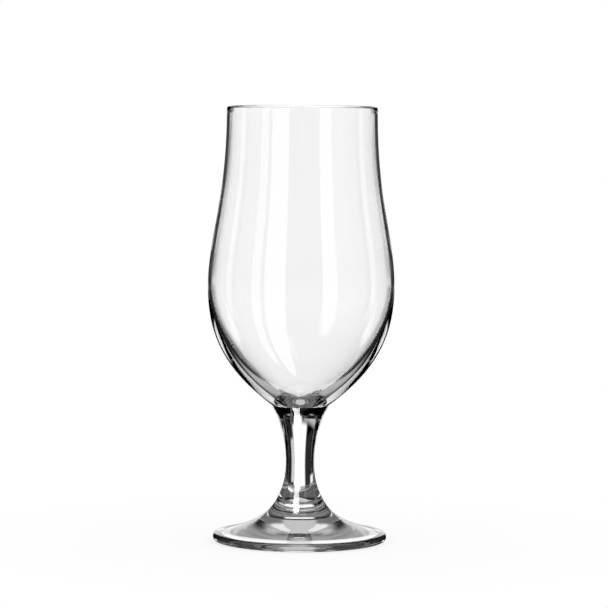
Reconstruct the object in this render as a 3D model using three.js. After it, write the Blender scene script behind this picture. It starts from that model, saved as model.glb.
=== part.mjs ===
// A stemmed beer glass in clear soda-lime glass: a tulip bowl on a short waisted stem and a wide round foot.
// The bowl, the stem and the foot are shaped as three pieces of glass and fused while hot, so each meets
// the next at a flat round seam of the same size. Millimetres, +Z up, origin on the table under the middle.
import * as THREE from "three";

// Heights of the pieces, from the table up
const FOOT_HEIGHT = 17.5;
const STEM_HEIGHT = 38.25;
const BUTTON_HEIGHT = 3.75;
const BOWL_HEIGHT = 130.5;

// Outside of the bowl, above its crease
const RIM_RADIUS = 32.8;
const BELLY_RADIUS = 40.7;
const BELLY_RISE = 51.95;
const CREASE_RADIUS = 12.45;
const CREASE_ANGLE = 36.7;
const LOWER_BOWL_FULLNESS = [0.473, 0.326];
const UPPER_BOWL_FULLNESS = [0.288, 0.536];

// Inside of the bowl
const RIM_WALL = 1.5;
const BELLY_WALL = 1.35;
const FLOOR_THICKNESS = 5.45;
const LOWER_CAVITY_FULLNESS = [0.1, 0.51];
const UPPER_CAVITY_FULLNESS = [0.206, 0.45];

// Seams between the pieces: their radius, and how far the outside widens there for each millimetre of height
const STEM_SEAM_RADIUS = 10.4;
const STEM_SEAM_FLARE = 0.395;
const FOOT_SEAM_RADIUS = 10.55;
const FOOT_SEAM_FLARE = 0.59;

// Stem
const WAIST_RADIUS = 6.2;
const WAIST_RISE = 17.25;
const LOWER_STEM_FULLNESS = [0.33, 0.41];
const UPPER_STEM_FULLNESS = [0.347, 0.347];

// Foot
const FOOT_RADIUS = 38;
const FOOT_EDGE_RADIUS = 1.85;
const FOOT_TOP_ANGLE = 11;
const FOOT_TOP_FULLNESS = [0.5, 0.27];
const STANDING_RING_WIDTH = 2.4;
const KICK_RISE = 2.6;
const KICK_ANGLE = 14;
const KICK_FULLNESS = [0.3, 0.45];

// Fineness of the turned surfaces
const SEGMENTS = 64;
const WALL_STEPS = 11;
const STEM_STEPS = 6;
const ROUND_STEPS = 3;

const FOOT_SEAM = FOOT_HEIGHT;
const STEM_SEAM = FOOT_SEAM + STEM_HEIGHT;
const CREASE = STEM_SEAM + BUTTON_HEIGHT;
const BELLY = CREASE + BELLY_RISE;
const RIM = CREASE + BOWL_HEIGHT;
const UP = new THREE.Vector2(0, 1);

// A point of an outline: its distance from the glass's axis, and its height.
function at(radius, height) {
  return new THREE.Vector2(radius, height);
}

// A direction that leans the given degrees up from straight outwards.
function lean(degrees) {
  const angle = THREE.MathUtils.degToRad(degrees);
  return at(Math.cos(angle), Math.sin(angle));
}

// The way up along a seam's flare.
function alongFlare(flare) {
  return at(flare, 1).normalize();
}

// A smooth stretch of outline that leaves its start and reaches its end in the given directions. The two
// fullnesses say how long it holds each direction, as shares of the straight distance.
function sweep(start, startWay, end, endWay, [startFullness, endFullness], steps) {
  const span = start.distanceTo(end);
  const first = start.clone().addScaledVector(startWay, startFullness * span);
  const second = end.clone().addScaledVector(endWay, -endFullness * span);
  return new THREE.CubicBezierCurve(start, first, second, end).getPoints(steps);
}

// A round stretch of outline about a centre, between two angles in degrees.
function round(centre, radius, from, to, steps) {
  return Array.from({ length: steps + 1 }, (_, step) => {
    const way = lean(THREE.MathUtils.lerp(from, to, step / steps));
    return centre.clone().addScaledVector(way, radius);
  });
}

// Joins stretches of outline, leaving out the point that each shares with the one before.
function join(...stretches) {
  return stretches.flatMap((stretch, index) => (index ? stretch.slice(1) : stretch));
}

function glass(tint) {
  return new THREE.MeshStandardMaterial({
    color: tint,
    roughness: 0.03,
    metalness: 0,
    transparent: true,
    opacity: 0.35,
  });
}

// Turns an outline, which runs from the axis round to the axis again, into a named solid.
function turned(name, outline, tint) {
  const geometry = new THREE.LatheGeometry(outline, SEGMENTS);
  geometry.rotateX(Math.PI / 2);
  const mesh = new THREE.Mesh(geometry, glass(tint));
  mesh.name = name;
  return mesh;
}

function bowl() {
  const crease = at(CREASE_RADIUS, CREASE);
  const belly = at(BELLY_RADIUS, BELLY);
  const rimRound = RIM_WALL / 2;
  const rimCentre = at(RIM_RADIUS - rimRound, RIM - rimRound);
  const rimInside = at(RIM_RADIUS - RIM_WALL, rimCentre.y);
  const bellyInside = at(BELLY_RADIUS - BELLY_WALL, BELLY);
  const floor = at(0, STEM_SEAM + FLOOR_THICKNESS);
  const outside = join(
    [at(0, STEM_SEAM), at(STEM_SEAM_RADIUS, STEM_SEAM), crease],
    sweep(crease, lean(CREASE_ANGLE), belly, UP, LOWER_BOWL_FULLNESS, WALL_STEPS),
    sweep(belly, UP, at(RIM_RADIUS, rimCentre.y), UP, UPPER_BOWL_FULLNESS, WALL_STEPS),
  );
  const inside = join(
    sweep(floor, lean(0), bellyInside, UP, LOWER_CAVITY_FULLNESS, WALL_STEPS),
    sweep(bellyInside, UP, rimInside, UP, UPPER_CAVITY_FULLNESS, WALL_STEPS),
  );
  const rim = join(
    round(rimCentre, rimRound, 0, 90, ROUND_STEPS),
    round(rimCentre, rimRound, 90, 180, ROUND_STEPS),
  );
  return turned("bowl", join(outside, rim, inside.reverse()), 0xf1f5f4);
}

function stem() {
  const low = at(FOOT_SEAM_RADIUS, FOOT_SEAM);
  const waist = at(WAIST_RADIUS, FOOT_SEAM + WAIST_RISE);
  const high = at(STEM_SEAM_RADIUS, STEM_SEAM);
  const side = join(
    sweep(low, alongFlare(-FOOT_SEAM_FLARE), waist, UP, LOWER_STEM_FULLNESS, STEM_STEPS),
    sweep(waist, UP, high, alongFlare(STEM_SEAM_FLARE), UPPER_STEM_FULLNESS, STEM_STEPS),
  );
  return turned("stem", [at(0, FOOT_SEAM), ...side, at(0, STEM_SEAM)], 0xe9efee);
}

function foot() {
  const edgeCentre = at(FOOT_RADIUS - FOOT_EDGE_RADIUS, FOOT_EDGE_RADIUS);
  const ringInside = at(edgeCentre.x - STANDING_RING_WIDTH, 0);
  const kick = sweep(ringInside, lean(180 - KICK_ANGLE), at(0, KICK_RISE), lean(180), KICK_FULLNESS, STEM_STEPS);
  const edge = join(
    round(edgeCentre, FOOT_EDGE_RADIUS, -90, 0, ROUND_STEPS),
    round(edgeCentre, FOOT_EDGE_RADIUS, 0, 90 - FOOT_TOP_ANGLE, ROUND_STEPS),
  );
  const seam = at(FOOT_SEAM_RADIUS, FOOT_SEAM);
  const top = sweep(
    edge.at(-1),
    lean(180 - FOOT_TOP_ANGLE),
    seam,
    alongFlare(-FOOT_SEAM_FLARE),
    FOOT_TOP_FULLNESS,
    WALL_STEPS,
  );
  const outline = [...kick.reverse(), ...edge, ...top.slice(1), at(0, FOOT_SEAM)];
  return turned("foot", outline, 0xeef3f2);
}

const beerGlass = new THREE.Group();
beerGlass.name = "beer_glass";
beerGlass.add(bowl(), stem(), foot());

export default beerGlass;
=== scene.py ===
"""A stemmed beer glass in clear glass on a white ground, in a surround fitted to one photo of it."""
import math

import bmesh
import bpy
from mathutils import Matrix, Vector


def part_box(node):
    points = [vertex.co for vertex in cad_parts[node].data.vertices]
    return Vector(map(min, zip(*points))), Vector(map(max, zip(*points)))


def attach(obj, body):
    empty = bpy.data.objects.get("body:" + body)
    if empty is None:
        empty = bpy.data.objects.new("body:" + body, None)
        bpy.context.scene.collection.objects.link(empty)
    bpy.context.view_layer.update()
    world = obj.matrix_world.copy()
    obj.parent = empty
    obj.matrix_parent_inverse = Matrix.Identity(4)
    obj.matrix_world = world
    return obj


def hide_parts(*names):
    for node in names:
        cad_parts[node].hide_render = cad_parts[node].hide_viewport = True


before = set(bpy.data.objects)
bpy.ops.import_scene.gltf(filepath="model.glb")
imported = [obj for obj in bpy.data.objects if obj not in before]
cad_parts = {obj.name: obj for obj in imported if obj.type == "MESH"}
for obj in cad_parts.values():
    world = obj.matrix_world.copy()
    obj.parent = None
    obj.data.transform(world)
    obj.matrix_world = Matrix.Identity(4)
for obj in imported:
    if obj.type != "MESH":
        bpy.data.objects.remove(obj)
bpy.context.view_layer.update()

MM = 0.001

# Heights and radii that the frame gives, in millimetres
FOOT_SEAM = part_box("foot")[1].z / MM
STEM_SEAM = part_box("stem")[1].z / MM
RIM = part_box("bowl")[1].z / MM
FOOT_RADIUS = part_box("foot")[1].x / MM
FOOT_SEAM_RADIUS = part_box("stem")[1].x / MM
BELLY_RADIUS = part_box("bowl")[1].x / MM

# The sizes, angles and fullnesses of the outline below, and the camera's place further down, are results of
# fits to the photo's outline, rounded. The inside of the bowl can't be seen. Its numbers are results of a fit
# to the dark bands at the bowl's edge, in which the surround was free too, so they are a likely guess.

# Outside of the bowl
CREASE = STEM_SEAM + 3.75
CREASE_RADIUS = 12.45
CREASE_ANGLE = 36.7
BELLY = CREASE + 51.95
RIM_RADIUS = 32.8
LOWER_BOWL_FULLNESS = (0.473, 0.326)
UPPER_BOWL_FULLNESS = (0.288, 0.536)

# Inside of the bowl
RIM_WALL = 1.5
BELLY_WALL = 1.35
FLOOR_THICKNESS = 5.45
LOWER_CAVITY_FULLNESS = (0.1, 0.51)
UPPER_CAVITY_FULLNESS = (0.206, 0.45)

# Stem
STEM_SEAM_RADIUS = 10.4
STEM_SEAM_FLARE = 0.395
FOOT_SEAM_FLARE = 0.59
WAIST = FOOT_SEAM + 17.25
WAIST_RADIUS = 6.2
LOWER_STEM_FULLNESS = (0.33, 0.41)
UPPER_STEM_FULLNESS = (0.347, 0.347)

# Foot
FOOT_EDGE_RADIUS = 1.85
FOOT_TOP_ANGLE = 11
FOOT_TOP_FULLNESS = (0.5, 0.27)
STANDING_RING_WIDTH = 2.4
KICK_RISE = 2.6
KICK_ANGLE = 14
KICK_FULLNESS = (0.3, 0.45)

# Fineness of the turned surfaces, the bend in degrees from which an edge stays sharp, and the hair gap that
# keeps two fused faces apart
SEGMENTS = 192
SWEEP_STEPS = 48
ROUND_STEPS = 12
SHARP_BEND = 12
SEAM_GAP = 0.02

UP = Vector((0, 1))


def at(radius, height):
    """A point of an outline: its distance from the glass's axis, and its height."""
    return Vector((radius, height))


def lean(degrees):
    """A direction that leans the given degrees up from straight outwards."""
    angle = math.radians(degrees)
    return Vector((math.cos(angle), math.sin(angle)))


def along_flare(flare):
    """The way up along a seam's flare."""
    return Vector((flare, 1)).normalized()


def sweep(start, start_way, end, end_way, fullness, steps=SWEEP_STEPS):
    """A smooth stretch of outline that leaves its start and reaches its end in the given directions."""
    span = (end - start).length
    first = start + start_way * fullness[0] * span
    second = end - end_way * fullness[1] * span
    points = []
    for step in range(steps + 1):
        t = step / steps
        s = 1 - t
        points.append(s**3 * start + 3 * s * s * t * first + 3 * s * t * t * second + t**3 * end)
    return points


def round_off(centre, radius, first, last, steps=ROUND_STEPS):
    """A round stretch of outline about a centre, between two angles in degrees."""
    return [centre + lean(first + (last - first) * step / steps) * radius for step in range(steps + 1)]


def join(*stretches):
    """Joins stretches of outline, leaving out the point that each shares with the one before."""
    points = list(stretches[0])
    for stretch in stretches[1:]:
        points += stretch[1:]
    return points


def bowl_outline():
    """From the middle of the seam out along the outside, over the rim and down to the floor's middle."""
    crease = at(CREASE_RADIUS, CREASE)
    belly = at(BELLY_RADIUS, BELLY)
    rim_centre = at(RIM_RADIUS - RIM_WALL / 2, RIM - RIM_WALL / 2)
    belly_inside = at(BELLY_RADIUS - BELLY_WALL, BELLY)
    rim_inside = at(RIM_RADIUS - RIM_WALL, rim_centre.y)
    seam = STEM_SEAM + SEAM_GAP / 2
    outside = join(
        [at(0, seam), at(STEM_SEAM_RADIUS, seam), crease],
        sweep(crease, lean(CREASE_ANGLE), belly, UP, LOWER_BOWL_FULLNESS),
        sweep(belly, UP, at(RIM_RADIUS, rim_centre.y), UP, UPPER_BOWL_FULLNESS),
        round_off(rim_centre, RIM_WALL / 2, 0, 180),
    )
    inside = join(
        sweep(at(0, STEM_SEAM + FLOOR_THICKNESS), lean(0), belly_inside, UP, LOWER_CAVITY_FULLNESS),
        sweep(belly_inside, UP, rim_inside, UP, UPPER_CAVITY_FULLNESS),
    )
    return join(outside, inside[::-1])


def stem_outline():
    """From the middle of the lower seam out along the side to the middle of the upper seam."""
    low = at(FOOT_SEAM_RADIUS, FOOT_SEAM + SEAM_GAP / 2)
    waist = at(WAIST_RADIUS, WAIST)
    high = at(STEM_SEAM_RADIUS, STEM_SEAM - SEAM_GAP / 2)
    side = join(
        sweep(low, along_flare(-FOOT_SEAM_FLARE), waist, UP, LOWER_STEM_FULLNESS),
        sweep(waist, UP, high, along_flare(STEM_SEAM_FLARE), UPPER_STEM_FULLNESS),
    )
    return [at(0, low.y)] + side + [at(0, high.y)]


def foot_outline():
    """From the middle of the hollow underneath over the standing ring, round the edge, up to the seam."""
    edge_centre = at(FOOT_RADIUS - FOOT_EDGE_RADIUS, FOOT_EDGE_RADIUS)
    ring_inside = at(edge_centre.x - STANDING_RING_WIDTH, 0)
    kick = sweep(ring_inside, lean(180 - KICK_ANGLE), at(0, KICK_RISE), lean(180), KICK_FULLNESS)
    edge = round_off(edge_centre, FOOT_EDGE_RADIUS, -90, 90 - FOOT_TOP_ANGLE, 2 * ROUND_STEPS)
    seam = at(FOOT_SEAM_RADIUS, FOOT_SEAM - SEAM_GAP / 2)
    seam_way = along_flare(-FOOT_SEAM_FLARE)
    top = sweep(edge[-1], lean(180 - FOOT_TOP_ANGLE), seam, seam_way, FOOT_TOP_FULLNESS)
    return kick[::-1] + join(edge, top) + [at(0, seam.y)]


def turned(name, outline, glass, seam_glass, seams):
    """Turns an outline round the axis into one closed piece; its flat seam faces get the fused glass."""
    mesh = bmesh.new()
    points = [mesh.verts.new((point.x * MM, 0, point.y * MM)) for point in outline]
    edges = [mesh.edges.new(pair) for pair in zip(points, points[1:])]
    bmesh.ops.spin(
        mesh,
        geom=points + edges,
        cent=(0, 0, 0),
        axis=(0, 0, 1),
        angle=2 * math.pi,
        steps=SEGMENTS,
        use_merge=True,
    )
    same_point = 1e-4 * MM
    bmesh.ops.remove_doubles(mesh, verts=mesh.verts, dist=same_point)
    bmesh.ops.recalc_face_normals(mesh, faces=mesh.faces)
    for face in mesh.faces:
        height = face.calc_center_median().z / MM
        level = abs(face.normal.z) > 0.9999
        face.smooth = True
        if level and any(abs(height - seam) < SEAM_GAP for seam in seams):
            face.material_index = 1
            face.smooth = False
    for edge in mesh.edges:
        edge.smooth = edge.calc_face_angle(0) < math.radians(SHARP_BEND)
    data = bpy.data.meshes.new(name)
    mesh.to_mesh(data)
    mesh.free()
    data.materials.append(glass)
    data.materials.append(seam_glass)
    piece = bpy.data.objects.new(name, data)
    bpy.context.scene.collection.objects.link(piece)
    return piece


def add(tree, kind, inputs, **settings):
    """Adds one node with its settings; an input is a plain value or another node's output."""
    node = tree.nodes.new(kind)
    for name, value in settings.items():
        setattr(node, name, value)
    for socket, value in inputs.items():
        if isinstance(value, bpy.types.NodeSocket):
            tree.links.new(value, node.inputs[socket])
        else:
            node.inputs[socket].default_value = value
    return node


def linear(hex_colour):
    """An sRGB hex colour as linear red, green, blue and alpha."""
    channels = [int(hex_colour[place : place + 2], 16) / 255 for place in (1, 3, 5)]
    return [c / 12.92 if c <= 0.04045 else ((c + 0.055) / 1.055) ** 2.4 for c in channels] + [1]


def tinted_body(tree):
    """Soda-lime glass takes a trace of light out of thick stretches, a little more red than green."""
    body = add(tree, "ShaderNodeVolumeAbsorption", {"Color": linear("#d4e4de"), "Density": 1.5})
    tree.links.new(body.outputs["Volume"], tree.nodes["Material Output"].inputs["Volume"])


def clear_glass():
    """Soda-lime glass, blown and pressed, then fire-polished: no roughness, but the faint long waves that
    the hot surface sets in, which make reflections wander by a hair."""
    material = bpy.data.materials.new("fire-polished soda-lime glass")
    material.use_nodes = True
    tree = material.node_tree
    glass = tree.nodes["Principled BSDF"]
    glass.inputs["Base Color"].default_value = linear("#ffffff")
    glass.inputs["Roughness"].default_value = 0
    glass.inputs["IOR"].default_value = 1.52
    glass.inputs["Transmission Weight"].default_value = 1
    wave_length = 14 * MM
    wave_height = 0.006 * MM
    place = add(tree, "ShaderNodeTexCoord", {})
    ripple = {"Vector": place.outputs["Object"], "Scale": 1 / wave_length, "Detail": 1}
    waves = add(tree, "ShaderNodeTexNoise", ripple)
    relief = {"Strength": 1, "Distance": wave_height, "Height": waves.outputs["Fac"]}
    swell = add(tree, "ShaderNodeBump", relief)
    tree.links.new(swell.outputs["Normal"], glass.inputs["Normal"])
    tinted_body(tree)
    return material


def fused_glass():
    """Where two pieces were fused while hot there is no surface left: light passes straight on."""
    material = bpy.data.materials.new("fused soda-lime glass")
    material.use_nodes = True
    tree = material.node_tree
    tree.nodes.remove(tree.nodes["Principled BSDF"])
    nothing = add(tree, "ShaderNodeBsdfTransparent", {})
    tree.links.new(nothing.outputs["BSDF"], tree.nodes["Material Output"].inputs["Surface"])
    tinted_body(tree)
    return material


# The surround of the glass, as white and grey panels on black, each painted over the ones before it.
# It isn't a studio that could be built, because each kind of ray sees its own panels, and their names only
# say what they stand for. Many limits and brightnesses are results of a least-squares fit to the photo's
# lights and darks, rounded to half a degree, and the others were set by eye against renders.
# A panel has its name, the rays that see it, the way its bearing is measured, its bearings and its heights
# over the horizon in degrees, its brightness, and in degrees how far its corners are rounded across and
# upright and how soft its edges are.
# "Bent" rays have passed the glass without being mirrored, "outside" ones are mirrored by its skin,
# "inside" ones once within its wall, and "far" ones more often.
# "Square" bearings start from the nearest of the four straight ways across the table, "behind" ones
# straight behind the glass and "aside" ones there too but to both sides, all growing towards the right.
# "Front" ones start at the camera and grow towards the left.
PANELS = [
    ("floor", "bent", "behind", (-999, 999), (-999, -54), 0.35, (4, 4), 4),
    ("backdrop", "bent", "square", (-14, 16.5), (-48, 16), 1.1, (3, 3), 2.5),
    ("backdrop's grey top left", "bent", "square", (-37, -6), (17.5, 25), 0.55, (3, 3), 3),
    ("backdrop's grey right edge", "bent", "square", (15.5, 26.5), (-26, 7), 0.6, (2, 2), 2),
    ("tall light behind", "bent", "square", (-3, 11), (-75, 31), 1.05, (3, 8), 2),
    ("backdrop's left corner", "bent", "behind", (-55, -35), (-48, -19), 1, (3, 3), 3),
    ("backdrop's right corner", "bent", "behind", (115, 155), (-50, 10), 1, (3, 3), 3),
    ("low cards", "outside", "aside", (19, 33.5), (-18, -10.5), 2.4, (3, 2), 1.5),
    ("ceiling behind", "outside", "aside", (-90, 14.5), (1, 60), 1.4, (3, 3), 3),
    ("gap in the middle", "outside", "behind", (-5, 6.5), (-22, 3), 0.6, (2, 2), 2),
    ("strips overhead", "outside", "aside", (7, 26), (40, 84), 3.4, (6, 14), 3),
    ("room", "inside", "front", (-130, 130), (-99, 99), 0.1, (8, 8), 8),
    ("side cards", "inside", "aside", (31, 68.5), (-41, 8), 1.5, (4, 4), 4),
    ("ceiling behind", "inside", "aside", (-90, 46), (5, 62), 0.6, (3, 3), 3),
    ("black cards", "inside", "aside", (-90, 46), (-41, -2), 0.03, (2.5, 2.5), 2.5),
    ("grey cards", "inside", "aside", (14, 46), (2, 17), 0.2, (3, 3), 3),
    ("gap in the middle", "inside", "aside", (-90, 12), (-26, -1.5), 1.2, (2, 2), 2),
    ("table edge", "inside", "aside", (-90, 22), (-80, -30), 0.65, (3, 3), 3),
    ("room", "far", "front", (-70, 70), (-99, 60), 0.06, (8, 8), 8),
    ("windows", "far", "front", (-76, 76), (3, 29), 0.28, (6, 6), 5),
    ("table", "far", "aside", (38, 230), (-80, -34), 0.16, (6, 6), 6),
    ("table edge", "far", "aside", (-90, 43), (-72, -25), 0.24, (4, 4), 4),
    ("wall behind", "far", "aside", (-90, 32), (-10.5, 29), 0.16, (4, 4), 4),
    ("gap in the middle", "far", "behind", (-6.5, 6.5), (-23, -2.5), 1.7, (2, 2), 2),
    ("right softbox", "outside", "front", (-46, -26.6), (-37, 88), 1.3, (9.5, 26), 0.7),
    ("right softbox", "inside", "front", (-50, -27), (-56, 88), 1.3, (11, 20), 0.7),
    ("right softbox's haze", "outside inside", "front", (-90, -46), (-30, 80), 0.4, (3, 3), 2),
    ("right strip", "outside inside", "front", (-108.5, -96.5), (-34, 84), 1.1, (5, 12), 0.7),
    ("left softbox", "outside", "front", (19.5, 46), (-81, 88), 2.4, (6, 10), 0.7),
    ("left softbox's wing", "outside", "front", (51.5, 64), (-64, 88), 1.9, (5, 20), 0.7),
    ("left softbox's haze", "outside inside", "front", (64, 90), (-36, 64), 0.3, (3, 3), 2),
    ("left strip", "outside inside", "front", (97, 108), (-34, 84), 0.95, (5, 12), 0.7),
]


def panel(tree, bearing, height, across, upright, corner, blur):
    """One inside a panel, zero outside it; the corners are round and the edge is soft."""
    past = {}
    sides = {"X": (bearing, across, corner[0]), "Y": (height, upright, corner[1])}
    for axis, (value, (low, high), bend) in sides.items():
        middle = (low + high) / 2
        straight = (high - low) / 2 - bend
        off = add(tree, "ShaderNodeMath", {0: value, 1: middle}, operation="SUBTRACT").outputs[0]
        size = add(tree, "ShaderNodeMath", {0: off}, operation="ABSOLUTE").outputs[0]
        over = add(tree, "ShaderNodeMath", {0: size, 1: straight}, operation="SUBTRACT").outputs[0]
        share = add(tree, "ShaderNodeMath", {0: over, 1: bend}, operation="DIVIDE").outputs[0]
        past[axis] = add(tree, "ShaderNodeMath", {0: share, 1: 0}, operation="MAXIMUM").outputs[0]
    way_out = add(tree, "ShaderNodeCombineXYZ", past).outputs["Vector"]
    distance = add(tree, "ShaderNodeVectorMath", {0: way_out}, operation="LENGTH").outputs["Value"]
    softness = blur / corner[0]
    fade = {"Value": distance, "From Min": 1 - softness, "From Max": 1 + softness, "To Min": 1, "To Max": 0}
    return add(tree, "ShaderNodeMapRange", fade, interpolation_type="SMOOTHSTEP").outputs["Result"]


def turned_by(tree, bearing, turn, full):
    """A bearing measured from another way, in a circle or a sector of the given size about that way."""
    half = full / 2
    above_zero = 720 - turn + half
    shifted = add(tree, "ShaderNodeMath", {0: bearing, 1: above_zero}, operation="ADD").outputs[0]
    wrapped = add(tree, "ShaderNodeMath", {0: shifted, 1: full}, operation="MODULO").outputs[0]
    return add(tree, "ShaderNodeMath", {0: wrapped, 1: half}, operation="SUBTRACT").outputs[0]


def studio():
    """Gives each kind of ray its own surround. What the camera sees past the glass is plain white."""
    world = bpy.data.worlds.new("studio")
    bpy.context.scene.world = world
    world.use_nodes = True
    tree = world.node_tree
    path = add(tree, "ShaderNodeLightPath", {})
    place = add(tree, "ShaderNodeTexCoord", {})
    way = add(tree, "ShaderNodeSeparateXYZ", {0: place.outputs["Generated"]})
    turn = add(tree, "ShaderNodeMath", {0: way.outputs[0], 1: way.outputs[1]}, operation="ARCTAN2")
    rise = add(tree, "ShaderNodeMath", {0: way.outputs[2]}, operation="ARCSINE")
    behind = add(tree, "ShaderNodeMath", {0: turn.outputs[0]}, operation="DEGREES").outputs[0]
    height = add(tree, "ShaderNodeMath", {0: rise.outputs[0]}, operation="DEGREES").outputs[0]
    bearings = {
        "behind": behind,
        "aside": add(tree, "ShaderNodeMath", {0: behind}, operation="ABSOLUTE").outputs[0],
        "square": turned_by(tree, behind, 0, 90),
        "front": turned_by(tree, behind, 180, 360),
    }

    seen = {"bent": 0, "outside": 0, "inside": 0, "far": 0}
    for name, rays, measured, across, upright, brightness, corner, blur in PANELS:
        share = panel(tree, bearings[measured], height, across, upright, corner, blur)
        for kind in rays.split():
            paint = {0: share, 2: seen[kind], 3: brightness}
            seen[kind] = add(tree, "ShaderNodeMix", paint, data_type="FLOAT", label=name).outputs[0]

    # Every pass through a surface and every mirroring adds one to Ray Depth, and Glossy Depth counts only
    # the mirrorings. A ray mirrored by the skin has depth 2 here, and one mirrored once in the wall has 4.
    depth = path.outputs["Ray Depth"]
    mirrorings = path.outputs["Glossy Depth"]
    far = add(tree, "ShaderNodeMath", {0: depth, 1: 4.5}, operation="GREATER_THAN").outputs[0]
    entered = add(tree, "ShaderNodeMath", {0: depth, 1: 2.5}, operation="GREATER_THAN").outputs[0]
    bent = add(tree, "ShaderNodeMath", {0: mirrorings, 1: 0.5}, operation="LESS_THAN").outputs[0]
    choice = {0: entered, 2: seen["outside"], 3: seen["inside"]}
    near = add(tree, "ShaderNodeMix", choice, data_type="FLOAT").outputs[0]
    choice = {0: far, 2: near, 3: seen["far"]}
    mirrored = add(tree, "ShaderNodeMix", choice, data_type="FLOAT").outputs[0]
    choice = {0: bent, 2: mirrored, 3: seen["bent"]}
    surround = add(tree, "ShaderNodeMix", choice, data_type="FLOAT").outputs[0]
    glassy = {0: path.outputs["Is Transmission Ray"], 1: path.outputs["Is Glossy Ray"]}
    in_glass = add(tree, "ShaderNodeMath", glassy, operation="MAXIMUM").outputs[0]
    light = add(tree, "ShaderNodeMix", {0: in_glass, 2: 1, 3: surround}, data_type="FLOAT").outputs[0]
    tree.links.new(light, tree.nodes["Background"].inputs["Color"])


def table():
    """A round patch of pale table under the foot, which keeps the glass's shadow and fades into white."""
    radius = 150 * MM
    clear_of_foot = 0.1 * MM
    white_share = 0.7
    white = 1.05
    mesh = bmesh.new()
    bmesh.ops.create_circle(mesh, cap_ends=True, radius=radius, segments=96)
    bmesh.ops.translate(mesh, verts=mesh.verts, vec=(0, 0, -clear_of_foot))
    data = bpy.data.meshes.new("table")
    mesh.to_mesh(data)
    mesh.free()
    floor = bpy.data.objects.new("table", data)
    bpy.context.scene.collection.objects.link(floor)
    material = bpy.data.materials.new("matt white laminate")
    material.use_nodes = True
    data.materials.append(material)
    tree = material.node_tree
    laminate = tree.nodes["Principled BSDF"]
    laminate.inputs["Base Color"].default_value = linear("#f3f3f3")
    laminate.inputs["Roughness"].default_value = 1
    laminate.inputs["Specular IOR Level"].default_value = 0
    path = add(tree, "ShaderNodeLightPath", {})
    glow = add(tree, "ShaderNodeEmission", {"Strength": white})
    seen = {0: path.outputs["Is Camera Ray"], 1: white_share}
    share = add(tree, "ShaderNodeMath", seen, operation="MULTIPLY")
    blend = {0: share.outputs[0], 1: laminate.outputs["BSDF"], 2: glow.outputs["Emission"]}
    fade = add(tree, "ShaderNodeMixShader", blend)
    tree.links.new(fade.outputs["Shader"], tree.nodes["Material Output"].inputs["Surface"])
    # Rays out of the glass see the studio's panels instead, which are painted below the table's edge too
    floor.visible_glossy = False
    floor.visible_transmission = False


def stem_light():
    """A slim upright lamp close to the stem, front left. Only its mirror image in the glass is seen, as the
    bright line down the stem and the foot. It shines one way, at the stem."""
    width = 9.5 * MM
    height = 38 * MM
    distance = 20 * MM
    middle = 31 * MM
    to_the_left = 16
    lamp = bpy.data.lights.new("stem_light", "AREA")
    lamp.shape = "RECTANGLE"
    lamp.size = width
    lamp.size_y = height
    lamp.energy = 0.017
    light = bpy.data.objects.new("stem_light", lamp)
    bpy.context.scene.collection.objects.link(light)
    turn = Matrix.Rotation(math.radians(-to_the_left), 4, "Z")
    place = Matrix.Translation((0, -distance, middle))
    light.matrix_world = turn @ place @ Matrix.Rotation(math.radians(90), 4, "X")
    light.visible_camera = False
    light.visible_diffuse = False
    light.visible_transmission = False


def camera():
    """A long lens a metre and a half away, a little over the rim and looking slightly down."""
    aside = 1.27 * MM
    distance = 1470 * MM
    height = 211.5 * MM
    looking_down = 4.19
    roll = 0.396
    lens = bpy.data.cameras.new("camera")
    lens.lens = 200
    lens.sensor_width = 36
    holder = bpy.data.objects.new("camera", lens)
    bpy.context.scene.collection.objects.link(holder)
    place = Matrix.Translation((aside, -distance, height))
    tilt = Matrix.Rotation(math.radians(90 - looking_down), 4, "X")
    holder.matrix_world = place @ tilt @ Matrix.Rotation(math.radians(roll), 4, "Z")
    bpy.context.scene.camera = holder


def light_paths():
    """Light crosses four walls of the bowl and is mirrored many times in the thick glass of the stem."""
    bends = 16
    fused_seams = 32
    scene = bpy.context.scene
    scene.cycles.max_bounces = bends
    scene.cycles.transmission_bounces = bends
    scene.cycles.glossy_bounces = bends
    scene.cycles.transparent_max_bounces = fused_seams
    scene.cycles.sample_clamp_indirect = 0
    scene.view_settings.view_transform = "Standard"


glass = clear_glass()
fused = fused_glass()
OUTLINES = {
    "bowl": (bowl_outline(), (STEM_SEAM,)),
    "stem": (stem_outline(), (STEM_SEAM, FOOT_SEAM)),
    "foot": (foot_outline(), (FOOT_SEAM,)),
}
for node, (outline, seams) in OUTLINES.items():
    piece = turned("clear_" + node, outline, glass, fused, seams)
    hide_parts(node)
    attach(piece, "root")
table()
stem_light()
studio()
camera()
light_paths()
